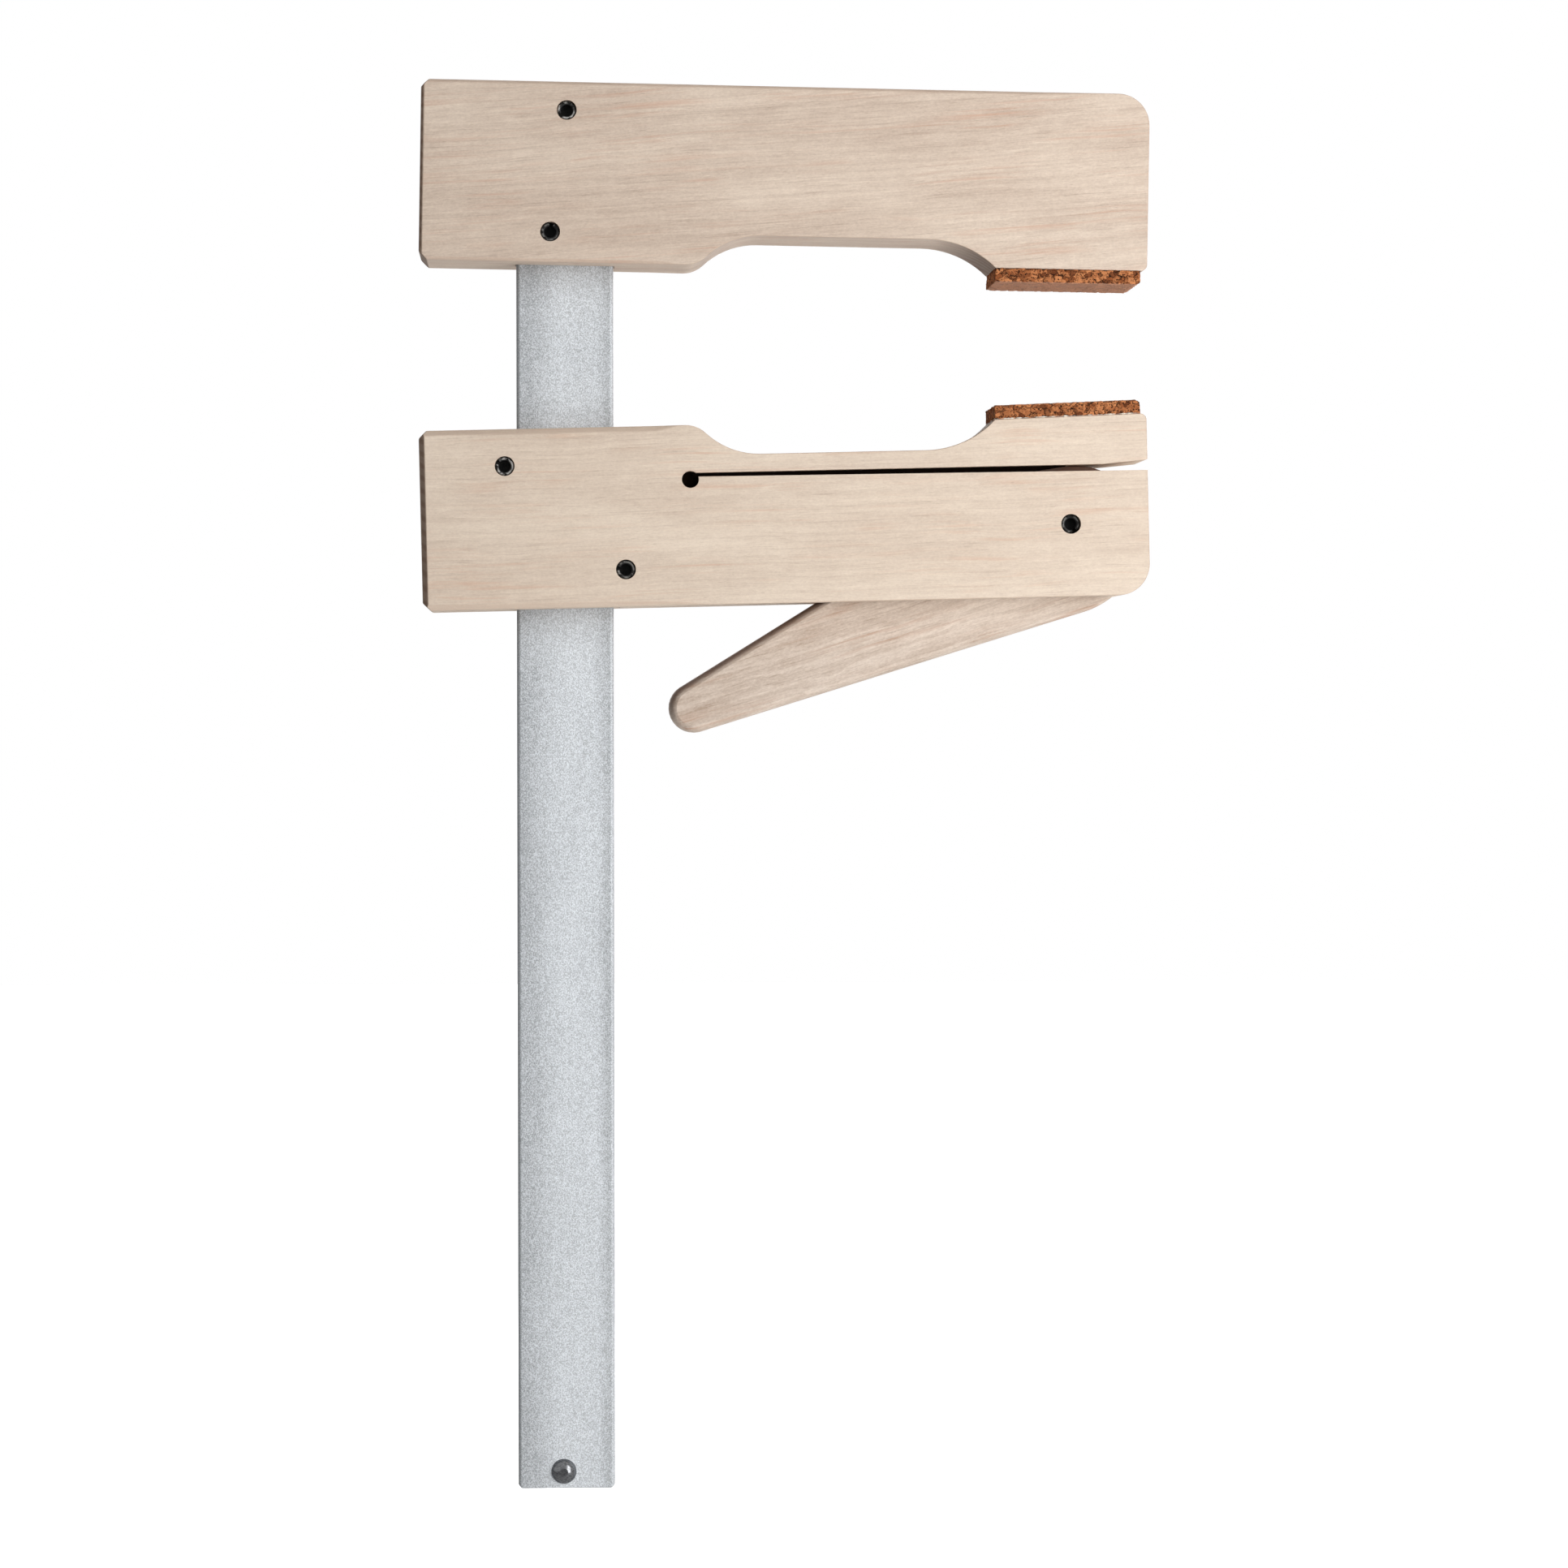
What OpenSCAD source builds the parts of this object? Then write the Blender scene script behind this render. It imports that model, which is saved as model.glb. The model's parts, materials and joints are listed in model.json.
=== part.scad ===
// Wooden cam clamp: two hardwood jaws on a flat steel bar. A cam on the folded lever lifts the
// sawn tongue of the sliding jaw and presses the work between two cork facings.
// Millimetres and degrees. The bar stands along Z, the jaws reach along X, the front faces -Y.
// The origin is the middle of the fixed jaw's cork face, where the clamp meets the work.

/* [Clamp] */
// Widest opening between the cork facings
max_opening = 200; // [120:0.5:300]
// Opening between the cork facings as modelled
rest_opening = 24.4; // [12:0.1:60]
// Throat depth, from the bar's edge to the jaw tips
throat = 110; // [104:1:140]
// Toe-in of the fixed jaw, which the load closes up
fixed_toe = 1; // [0.6:0.05:1.6]
// Cant of the sliding jaw on the bar while nothing is clamped
sliding_toe = 1.3; // [0.6:0.05:1.6]

/* [Bar] */
// Width of the steel bar
bar_w = 20; // [16:0.5:24]
// Thickness of the steel bar
bar_t = 5; // [4:0.25:6]
// Rounding of the bar's long edges
bar_edge_r = 0.8; // [0.3:0.1:1.2]
// Corner cut at the bar's lower end
bar_end_cut = 0.7; // [0.3:0.1:2]
// How far the bar's upper end stays below the top of the fixed jaw
bar_sink = 0.6; // [0.4:0.1:3]
// Clearance round the bar in the fixed jaw's mortise
bar_fit = 0.1; // [0.05:0.05:0.3]

/* [Stop rivet] */
// Diameter of the round heads
rivet_head_d = 5.2; // [4.6:0.1:7]
// Height of the round heads
rivet_head_h = 1.8; // [1:0.1:2.2]
// Diameter of the shank
rivet_shank_d = 3; // [2:0.1:4]
// From the bar's middle line to the rivet, towards the tips
rivet_x = -0.6; // [-3:0.1:3]
// From the rivet's centre to the bar's lower end
rivet_end = 3.5; // [3:0.1:10]
// Gap left between the sliding jaw and the rivet at the widest opening
stop_gap = 0.3; // [0.1:0.1:0.6]

/* [Jaws] */
// Height of each jaw
jaw_h = 36.9; // [34:0.1:44]
// Thickness of each jaw
jaw_t = 22; // [20:0.5:28]
// Length of each jaw behind the bar
heel_len = 19.6; // [12:0.1:30]
// Flat of each jaw in front of the bar, up to the arch
nose_len = 15; // [12:0.5:20]
// Depth of the arch between nose and facing
arch_d = 6.2; // [4:0.1:7]
// Hollow radius of the arch on the bar side
arch_bar_r = 16; // [10:0.5:24]
// Rounded lip where the nose runs into the arch
arch_lip_r = 6; // [3:0.5:9]
// Hollow radius of the arch on the facing side
arch_pad_r = 20; // [12:0.5:24]
// Radius of the outer corner at the tips
tip_r = 6.5; // [3:0.5:10]
// Radius of the tip's corner beside the cork
tip_lip_r = 1.3; // [0.5:0.1:1.3]
// Cut on the two corners of the heel
heel_cut = 1.6; // [0.5:0.1:4]
// Chamfer on the fixed jaw's edges
fixed_edge = 0.6; // [0.2:0.1:1.5]
// Chamfer on the sliding jaw's edges
sliding_edge = 1.1; // [0.2:0.1:1.8]
// Length over which a chamfer runs out beside the arch
inner_fade = 5; // [3:0.5:8]
// Length over which a chamfer runs out on a jaw's outer side
outer_fade = 16; // [6:1:24]
// How far past the bar the sliding jaw's outer chamfer reaches
outer_reach = 22; // [10:1:40]

/* [Cork facings] */
// Length of each facing
cork_len = 30; // [24:0.5:34]
// Thickness of each facing
cork_t = 2.9; // [2:0.1:5]
// From the facing's end to the jaw's tip
cork_inset = 1.35; // [1.35:0.05:4]
// How far the fixed jaw is cut back under its facing
pad_recess = 0.6; // [0.2:0.1:1.2]
// How far the tongue is cut back under the inner end of its facing
tongue_recess = 0.2; // [0.1:0.1:1.2]
// How much higher the tongue stands under the tip end of its facing
tongue_rise = 0.6; // [0:0.1:1]

/* [Spring pins] */
// Diameter of every spring pin
pin_d = 4; // [3:0.25:5]
// Wall of the rolled pin
pin_wall = 0.8; // [0.5:0.05:1]
// Width of the slot along the pin
pin_slot = 0.9; // [0.5:0.1:1.2]
// Chamfer at both ends of a pin
pin_chamfer = 0.4; // [0.2:0.05:0.6]
// How far the pin's ends lie below the faces of the wood
pin_sink = 1; // [0.2:0.1:2]
// Clearance round a pressed pin
pin_fit = 0.03; // [0.02:0.01:0.1]
// Turn of the slot in the fixed jaw's upper pin
upper_slot_turn = 220; // [0:5:355]
// Turn of the slot in the fixed jaw's lower pin
lower_slot_turn = 80; // [0:5:355]
// Turn of the slot in the rear guide pin
rear_slot_turn = 150; // [0:5:355]
// Turn of the slot in the front guide pin
front_slot_turn = 170; // [0:5:355]
// Turn of the slot in the pivot pin
pivot_slot_turn = 300; // [0:5:355]

/* [Fixed jaw pins] */
// Upper pin, from the bar's middle towards the tip
upper_pin_x = 0.2; // [-3:0.1:3]
// Upper pin, below the top of the jaw
upper_pin_down = 5.8; // [5:0.1:10]
// Lower pin, from the bar's middle towards the tip
lower_pin_x = -2.8; // [-4:0.1:4]
// Lower pin, above the jaw's inner face
lower_pin_up = 6.2; // [5:0.1:10]

/* [Guide pins] */
// From each guide pin to the face of the jaw that it lies nearest to
guide_pin_in = 7.6; // [6:0.1:11]
// Gap between a guide pin and the bar's edge while nothing is clamped
guide_gap = 0.4; // [0.3:0.05:0.8]
// Play of the bar at the tightest corners of the sliding jaw's mortise
guide_play = 0.3; // [0.2:0.05:0.6]
// Play on each flat of the bar in the sliding jaw's mortise
flat_play = 0.3; // [0.2:0.05:0.6]

/* [Tongue and kerf] */
// From the sliding jaw's inner face to the underside of its tongue
kerf_in = 9.8; // [9:0.1:12]
// Width of the kerf where it starts
kerf_w = 0.8; // [0.6:0.1:1.5]
// Angle at which the kerf opens towards the tip
kerf_splay = 0.4; // [0:0.05:0.8]
// Diameter of the hole that ends the kerf
kerf_hole_d = 3.5; // [2.5:0.1:5]
// From the bar's edge to the middle of that hole
kerf_hole_x = 15.8; // [14:0.1:20]
// From the underside of the tongue down to the middle of that hole
kerf_hole_down = 1.35; // [0.5:0.05:1.5]
// Gap at the hinge line, where the tongue flexes
hinge_gap = 0.3; // [0.2:0.05:0.5]
// Length of the relief under the tongue's tip
tip_relief_len = 9; // [4:0.5:12]
// Height of the relief under the tongue's tip
tip_relief = 0.8; // [0.2:0.1:1.2]

/* [Cam lever] */
// From the pivot to the jaw's tip
pivot_back = 16.1; // [15.8:0.1:20]
// From the underside of the tongue down to the pivot
pivot_down = 12.2; // [11:0.1:14]
// Clearance of the lever on its pivot pin
pivot_fit = 0.06; // [0.03:0.01:0.1]
// Thickness of the lever
lever_t = 10; // [8:0.5:12]
// Gap on each side of the lever in its slot
lever_gap = 0.35; // [0.3:0.05:0.8]
// From the pivot to the rounding of the tip, along the lower edge
lever_len = 85.2; // [70:0.1:100]
// Slope of the folded lever's lower edge to the jaw
lever_slope = 16; // [12:0.1:20]
// Radius of the lever's tip
lever_tip_r = 5.1; // [4:0.1:6]
// Rounding along the edges of the lever's grip
lever_edge_r = 2.7; // [1:0.1:3.5]
// How far the grip's rounded edges stop short of the cam
grip_stop = 1; // [0.5:0.25:4]
// Flat on the cam behind the pivot, which holds the lever folded
cam_flat = 6.6; // [4:0.1:9]
// Gap between the cam and the tongue
cam_gap = 0.1; // [0.05:0.01:0.2]
// Full swing of the lever
lever_swing = 90; // [60:1:100]
// Angle through which a full swing bends the tongue
tongue_lift = 4; // [2:0.1:5]
// Gap between the folded lever and the end of its slot
slot_gap = 0.8; // [0.4:0.1:2]

/* [Hidden] */
$fn = 64;
// How far a cutting shape runs past the face that it cuts
past = 1;

// Places along a jaw, from the bar's middle line
heel_u = -bar_w / 2 - heel_len;
tip_u = bar_w / 2 + throat;
lip_u = bar_w / 2 + nose_len;
cork_u1 = tip_u - cork_inset;
cork_u0 = cork_u1 - cork_len;
pad_u = (cork_u0 + cork_u1) / 2;

// The seats of the facings: how deep they lie in the wood at their inner and their tip end
fixed_seat = [pad_recess, pad_recess];
tongue_seat = [tongue_recess, tongue_recess - tongue_rise];
tongue_seat_slope = atan2(tongue_rise, cork_len);

// The arch: a lip, a hollow, a flat and a second hollow that ends at the seat, each tangent to the next
lip_sum = arch_lip_r + arch_bar_r;
arch_u0 = lip_u + sqrt(lip_sum * lip_sum - (lip_sum - arch_d) * (lip_sum - arch_d));
function arch_end(seat) =
    let (rise = arch_pad_r - arch_d + seat[0]) cork_u0 - sqrt(arch_pad_r * arch_pad_r - rise * rise);
lip_end_u = lip_u + (arch_u0 - lip_u) * arch_lip_r / lip_sum;
lip_end_v = arch_lip_r - (lip_sum - arch_d) * arch_lip_r / lip_sum;

// Where a point of each jaw lies beside the bar: the jaws are turned about their middles
function turned(u, dz, angle) = [u * cos(angle) + dz * sin(angle), dz * cos(angle) - u * sin(angle)];
function fixed_point(u, z) = [0, jaw_h / 2] + turned(u, z - jaw_h / 2, fixed_toe);
function sliding_point(u, z) = [0, -jaw_h / 2] + turned(u, z + jaw_h / 2, -sliding_toe);
pad_face = fixed_point(pad_u, pad_recess - cork_t);
tongue_pad_z = tongue_rise / 2 - tongue_recess + cork_t / cos(tongue_seat_slope);
slide_z = pad_face[1] - rest_opening - sliding_point(pad_u, tongue_pad_z)[1];

// The bar runs from just under the fixed jaw's top to just past the stop rivet
bar_top = jaw_h - bar_sink;
rivet_z = slide_z - jaw_h - (max_opening - rest_opening) - stop_gap - rivet_head_d / 2;
bar_bottom = rivet_z - rivet_end;
rivet_ball_r = (rivet_head_d * rivet_head_d / 4 + rivet_head_h * rivet_head_h) / (2 * rivet_head_h);

// Pins, each as [along the jaw, up from the jaw's inner face]
pin_len = jaw_t - 2 * pin_sink;
upper_pin = fixed_point(upper_pin_x, jaw_h - upper_pin_down);
lower_pin = fixed_point(lower_pin_x, lower_pin_up);
guide_dz = jaw_h / 2 - guide_pin_in;
guide_u = (bar_w / 2 + pin_d / 2 + guide_gap - guide_dz * sin(sliding_toe)) / cos(sliding_toe);
rear_guide = [-guide_u, -guide_pin_in];
front_guide = [guide_u, guide_pin_in - jaw_h];
pivot = [tip_u - pivot_back, -kerf_in - pivot_down];

// The tongue flexes in the middle of the thin leaf under the arch
leaf_t = kerf_in - arch_d;
hinge = [(arch_u0 + arch_end(tongue_seat)) / 2, -arch_d - leaf_t / 2];
kerf_hole = [bar_w / 2 + kerf_hole_x, -kerf_in - kerf_hole_down];

// The cam is the envelope of the tongue's underside as the tongue rises evenly with the lever
flex_ratio = tongue_lift / lever_swing;
hinge_to_pivot = pivot[0] - hinge[0];
pivot_under_hinge = hinge[1] - pivot[1];
cam_end = (180 - lever_slope) / (1 - flex_ratio);
cam_steps = 36;
function cam_height(turn) =
    hinge_to_pivot * sin(flex_ratio * turn) + pivot_under_hinge * cos(flex_ratio * turn)
    - leaf_t / 2 - cam_gap;
function cam_shift(turn) =
    flex_ratio / (1 - flex_ratio)
    * (hinge_to_pivot * cos(flex_ratio * turn) - pivot_under_hinge * sin(flex_ratio * turn));
function cam_point(turn) =
    let (facing = 90 - (1 - flex_ratio) * turn)
    cam_height(turn) * [cos(facing), sin(facing)] + cam_shift(turn) * [sin(facing), -cos(facing)];

// The lever's lower edge leaves the cam on a tangent, its upper edge runs from tip to cam flat
edge_out = [sin(lever_slope), -cos(lever_slope)];
edge_along = [-cos(lever_slope), -sin(lever_slope)];
lever_tip = edge_out * (cam_height(cam_end) - lever_tip_r) + edge_along * lever_len;
flat_end = [-cam_flat, cam_height(0)];
to_tip = lever_tip - flat_end;
upper_angle = atan2(to_tip[1], to_tip[0]) - asin(lever_tip_r / norm(to_tip));
upper_along = [cos(upper_angle), sin(upper_angle)];
upper_out = [sin(upper_angle), -cos(upper_angle)];

// The grip's rounded edges run from the tip up to these two places beside the cam
lower_rim = lever_tip - edge_along * (lever_len - cam_shift(cam_end) - grip_stop);
upper_rim = flat_end + upper_along * (lever_tip_r + grip_stop) - upper_out * lever_tip_r;

// The slot's sloping end lies along the folded lever's upper edge
slot_w = lever_t + 2 * lever_gap;
slot_edge = pivot + flat_end + upper_out * slot_gap;
function slot_end(z) = [slot_edge[0] + (z - slot_edge[1]) / tan(upper_angle), z];

// Frames: the whole clamp from the work face, and each jaw from its inner face at the bar
module in_frame() { translate([-pad_face[0], 0, -pad_face[1]]) children(); }
module on_fixed_jaw() {
    translate([0, 0, jaw_h / 2]) rotate([0, fixed_toe, 0]) translate([0, 0, -jaw_h / 2]) children();
}
module on_sliding_jaw() {
    translate([0, 0, slide_z - jaw_h / 2]) rotate([0, -sliding_toe, 0]) translate([0, 0, jaw_h / 2])
        children();
}

// A flat profile in the clamp's plane, made thick evenly to the front and the back
module thick(thickness) { rotate([90, 0, 0]) linear_extrude(thickness, center = true) children(); }

// A round bar or bore across the clamp
module across(at, diameter, length) {
    translate([at[0], 0, at[1]]) rotate([90, 0, 0]) cylinder(d = diameter, h = length, center = true);
}
module pin_hole(at) { across(at, pin_d + 2 * pin_fit, jaw_t + 2 * past); }

// What rounding a square corner of radius r takes away, for the corner at the origin's upper right
module corner_waste(r) {
    translate([-r, -r]) difference() {
        square(r + past);
        circle(r);
    }
}

// Outline of a jaw, with its inner face on v = 0 and its wood above
module jaw_profile(seat) {
    difference() {
        polygon([
            [heel_u, heel_cut], [heel_u + heel_cut, 0], [lip_end_u, 0], [cork_u0, seat[0]],
            [cork_u1, seat[1]], [tip_u, seat[1]], [tip_u, jaw_h], [heel_u + heel_cut, jaw_h],
            [heel_u, jaw_h - heel_cut]
        ]);
        arch_profile(arch_end(seat));
        translate([tip_u, jaw_h]) corner_waste(tip_r);
        translate([tip_u, seat[1]]) mirror([0, 1]) corner_waste(tip_lip_r);
    }
}

// The arch that leaves room for a raised edge on the work
module arch_profile(end_u) {
    translate([arch_u0, -past]) square([end_u - arch_u0, arch_d + past]);
    translate([arch_u0, arch_d - arch_bar_r]) circle(arch_bar_r);
    translate([end_u, arch_d - arch_pad_r]) circle(arch_pad_r);
    difference() {
        polygon([[lip_u, 0], [lip_end_u, lip_end_v], [lip_end_u, -past], [lip_u, -past]]);
        translate([lip_u, arch_lip_r]) circle(arch_lip_r);
    }
}

// Chamfer on the front and back edges above a straight side, which runs out at its end
module edge_chamfer(length, size, fade) {
    depth = size / sqrt(2);
    reach = 2 * size + past;
    for (face = [0, 1]) mirror([0, face, 0]) translate([0, jaw_t / 2, 0]) rotate([-45, 0, 0]) intersection() {
        translate([-past, -reach, -depth]) cube([length + 2 * past, 2 * reach, reach]);
        translate([length, 0, 0]) rotate([0, -atan2(depth, fade), 0]) translate([-2 * length, -reach, 0])
            cube([3 * length, 2 * reach, length]);
    }
}

// Chamfers along the inner side up to the arch, round the heel, and along the outer side up to a given place
module jaw_chamfers(size, outer_end) {
    mirror([0, 0, 1]) translate([heel_u, 0, 0]) edge_chamfer(lip_u - past - heel_u, size, inner_fade);
    translate([heel_u, 0, 0]) rotate([0, -90, 0]) edge_chamfer(jaw_h + inner_fade + past, size, inner_fade);
    translate([heel_u, 0, jaw_h]) edge_chamfer(outer_end - heel_u, size, outer_fade);
}

// Slotted spring pin: a rolled steel tube with chamfered ends
module spring_pin(at, slot_turn) {
    r = pin_d / 2;
    half = pin_len / 2;
    color("DimGray") translate([at[0], 0, at[1]]) rotate([90, 0, 0]) difference() {
        rotate_extrude() polygon([
            [r - pin_wall, -half], [r - pin_chamfer, -half], [r, pin_chamfer - half],
            [r, half - pin_chamfer], [r - pin_chamfer, half], [r - pin_wall, half]
        ]);
        rotate([0, 0, slot_turn]) translate([0, -pin_slot / 2, -half - past])
            cube([pin_d, pin_slot, pin_len + 2 * past]);
    }
}

// Flat steel bar, drilled for the two jaw pins and the rivet
module bar() {
    flat_w = bar_w - 2 * bar_edge_r;
    flat_t = bar_t - 2 * bar_edge_r;
    color("Silver") difference() {
        translate([0, 0, bar_bottom]) linear_extrude(bar_top - bar_bottom) {
            square([bar_w, flat_t], center = true);
            square([flat_w, bar_t], center = true);
            for (x = [-1, 1], y = [-1, 1]) translate([x * flat_w / 2, y * flat_t / 2]) circle(bar_edge_r);
        }
        for (at = [upper_pin, lower_pin]) pin_hole(at);
        across([rivet_x, rivet_z], rivet_shank_d, bar_t + 2 * past);
        for (x = [-1, 1]) translate([x * bar_w / 2, 0, bar_bottom]) rotate([0, 45, 0])
            cube([bar_end_cut * sqrt(2), bar_t + 2 * past, bar_end_cut * sqrt(2)], center = true);
    }
}

// Round-head rivet that keeps the sliding jaw on the bar
module stop_rivet() {
    color("Gray") translate([rivet_x, 0, rivet_z]) {
        rotate([90, 0, 0]) cylinder(d = rivet_shank_d, h = bar_t, center = true);
        for (face = [0, 1]) mirror([0, face, 0]) translate([0, -bar_t / 2, 0]) intersection() {
            translate([0, rivet_ball_r - rivet_head_h, 0]) sphere(rivet_ball_r);
            rotate([90, 0, 0]) cylinder(d = rivet_head_d + past, h = rivet_head_h + past);
        }
    }
}

// Upper jaw, mortised right through for the bar
module fixed_jaw() {
    mortise = [bar_w + 2 * bar_fit, bar_t + 2 * bar_fit, 2 * jaw_h];
    color("BurlyWood") difference() {
        on_fixed_jaw() difference() {
            thick(jaw_t) jaw_profile(fixed_seat);
            jaw_chamfers(fixed_edge, tip_u - tip_r - past);
        }
        translate([0, 0, jaw_h / 2]) cube(mortise, center = true);
        for (at = [upper_pin, lower_pin]) pin_hole(at);
    }
}

// Cork facing under a seat that starts at the given depth in the wood above and slopes out of it
module cork_facing(depth, slope) {
    color("Peru") translate([cork_u0, -jaw_t / 2, depth]) rotate([0, slope, 0]) translate([0, 0, -cork_t])
        cube([cork_len, jaw_t, cork_t]);
}

// The wood of the sliding jaw, with its inner face at z = 0 and its wood below
module sliding_blank() {
    mirror([0, 0, 1]) difference() {
        thick(jaw_t) jaw_profile(tongue_seat);
        jaw_chamfers(sliding_edge, bar_w / 2 + outer_reach);
    }
}

// Lower jaw without its tongue: mortised for the bar, sawn for the tongue, slotted for the lever
module sliding_jaw() {
    kerf_run = tip_u + past - kerf_hole[0];
    mortise_w = bar_w / cos(sliding_toe) + jaw_h * tan(sliding_toe) + 2 * guide_play;
    leaf_end = hinge[0] - hinge_gap / 2;
    color("Tan") on_sliding_jaw() difference() {
        sliding_blank();
        thick(jaw_t + 2 * past) {
            translate([leaf_end, -kerf_in]) square([tip_u + past - leaf_end, kerf_in + past]);
            polygon([
                kerf_hole + [0, kerf_hole_down], kerf_hole + [kerf_run, kerf_hole_down],
                kerf_hole + [kerf_run, kerf_hole_down - kerf_w - kerf_run * tan(kerf_splay)],
                kerf_hole + [0, kerf_hole_down - kerf_w]
            ]);
        }
        across(kerf_hole, kerf_hole_d, jaw_t + 2 * past);
        thick(slot_w) polygon([
            slot_end(-kerf_in), slot_end(-jaw_h - past), [tip_u + past, -jaw_h - past],
            [tip_u + past, -kerf_in]
        ]);
        translate([0, 0, -jaw_h / 2]) cube([mortise_w, bar_t + 2 * flat_play, 2 * jaw_h], center = true);
        for (at = [rear_guide, front_guide, pivot]) pin_hole(at);
    }
}

// The springy tongue over the kerf, from its hinge line to the tip
module jaw_tongue() {
    start = hinge[0] + hinge_gap / 2;
    color("Wheat") on_sliding_jaw() difference() {
        intersection() {
            sliding_blank();
            thick(jaw_t + 2 * past) translate([start, -kerf_in]) square([tip_u, kerf_in + past]);
        }
        thick(jaw_t + 2 * past) polygon([
            [tip_u - tip_relief_len, -kerf_in], [tip_u + past, -kerf_in + tip_relief],
            [tip_u + past, -kerf_in - past], [tip_u - tip_relief_len, -kerf_in - past]
        ]);
    }
}

// Rim of a round-edged disc across the lever, touching the outline where its wood is rounded
module grip_rim(at) {
    translate([at[0], 0, at[1]]) rotate([90, 0, 0]) rotate_extrude($fn = 32) intersection() {
        for (face = [-1, 1])
            translate([lever_tip_r - lever_edge_r, face * (lever_t / 2 - lever_edge_r)])
                circle(lever_edge_r, $fn = 32);
        translate([0, -lever_t / 2]) square([lever_tip_r, lever_t]);
    }
}

// Wooden lever: a round-edged grip that runs into the square-edged cam
module cam_lever() {
    color("Tan") on_sliding_jaw() translate([pivot[0], 0, pivot[1]]) difference() {
        union() {
            hull() for (at = [lever_tip, lower_rim, upper_rim]) grip_rim(at);
            thick(lever_t) polygon(concat(
                [for (step = [0 : cam_steps]) cam_point(cam_end * step / cam_steps)],
                [lower_rim, upper_rim, flat_end]
            ));
        }
        across([0, 0], pin_d + 2 * pivot_fit, lever_t + 2 * past);
    }
}

in_frame() bar();
in_frame() stop_rivet();
in_frame() fixed_jaw();
in_frame() spring_pin(upper_pin, upper_slot_turn);  // fixed_jaw_pin_upper
in_frame() spring_pin(lower_pin, lower_slot_turn);  // fixed_jaw_pin_lower
in_frame() on_fixed_jaw() cork_facing(pad_recess, 0);  // fixed_cork_facing
in_frame() sliding_jaw();
in_frame() jaw_tongue();
in_frame() on_sliding_jaw() mirror([0, 0, 1]) cork_facing(tongue_recess, tongue_seat_slope);  // sliding_cork_facing
in_frame() on_sliding_jaw() spring_pin(rear_guide, rear_slot_turn);  // guide_pin_rear
in_frame() on_sliding_jaw() spring_pin(front_guide, front_slot_turn);  // guide_pin_front
in_frame() on_sliding_jaw() spring_pin(pivot, pivot_slot_turn);  // cam_pivot_pin
in_frame() cam_lever();
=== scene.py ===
"""A wooden cam clamp: two hardwood jaws with cork facings on a galvanised bar.

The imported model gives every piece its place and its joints. This script gives the pieces their
finished surfaces, in the order in which the clamp is put together.
"""
import json
import math

import bmesh
import bpy
from mathutils import Matrix, Vector
from mathutils.geometry import convex_hull_2d


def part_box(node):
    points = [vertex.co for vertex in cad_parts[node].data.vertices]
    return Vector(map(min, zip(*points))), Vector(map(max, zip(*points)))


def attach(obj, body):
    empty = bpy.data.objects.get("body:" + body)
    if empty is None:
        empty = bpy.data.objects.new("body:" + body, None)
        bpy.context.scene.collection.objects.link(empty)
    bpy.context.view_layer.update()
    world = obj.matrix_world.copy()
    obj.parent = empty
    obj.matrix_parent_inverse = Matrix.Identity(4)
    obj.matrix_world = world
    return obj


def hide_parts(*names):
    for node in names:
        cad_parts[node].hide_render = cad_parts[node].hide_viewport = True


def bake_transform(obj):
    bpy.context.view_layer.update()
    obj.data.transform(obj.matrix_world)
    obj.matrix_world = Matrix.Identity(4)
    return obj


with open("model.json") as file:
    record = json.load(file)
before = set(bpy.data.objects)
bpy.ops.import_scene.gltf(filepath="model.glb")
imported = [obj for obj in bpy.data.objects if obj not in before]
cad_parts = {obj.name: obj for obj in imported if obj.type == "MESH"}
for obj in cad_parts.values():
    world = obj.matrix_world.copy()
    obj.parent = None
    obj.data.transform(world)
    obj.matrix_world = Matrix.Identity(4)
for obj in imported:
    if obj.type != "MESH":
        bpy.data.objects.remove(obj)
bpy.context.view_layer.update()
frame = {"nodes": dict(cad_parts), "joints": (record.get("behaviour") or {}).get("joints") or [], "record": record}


# The bar: flat steel, 20 x 5 mm, hot-dip galvanised and cut to length.
# Its long edges are rolled round, and the zinc has set in a fine matt grain.

MM = 0.001
SAME_SPOT = 0.002 * MM
SAME_PLANE = math.radians(0.1)
CRISP_SHARE = 0.12
CREASE = 38
BAR_EASE = 0.25 * MM
BAR_SHARP = 40
PAINTED_LIGHT_SPAN = (-9.6 * MM, 0.5 * MM)
PAINTED_SHADE_SPAN = (5.8 * MM, 9.4 * MM)


def join_up(solid, reach):
    """Merges the corners that lie within reach of each other, and the faces that share a plane."""
    bmesh.ops.remove_doubles(solid, verts=solid.verts, dist=reach)
    bmesh.ops.dissolve_limit(solid, angle_limit=SAME_PLANE, verts=solid.verts, edges=solid.edges)


def joined_solid(*nodes):
    """The solids of these CAD nodes as one mesh, with shared corners and whole flat faces."""
    solid = bmesh.new()
    for node in nodes:
        solid.from_mesh(frame["nodes"][node].data)
    join_up(solid, SAME_SPOT)
    return solid


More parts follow.
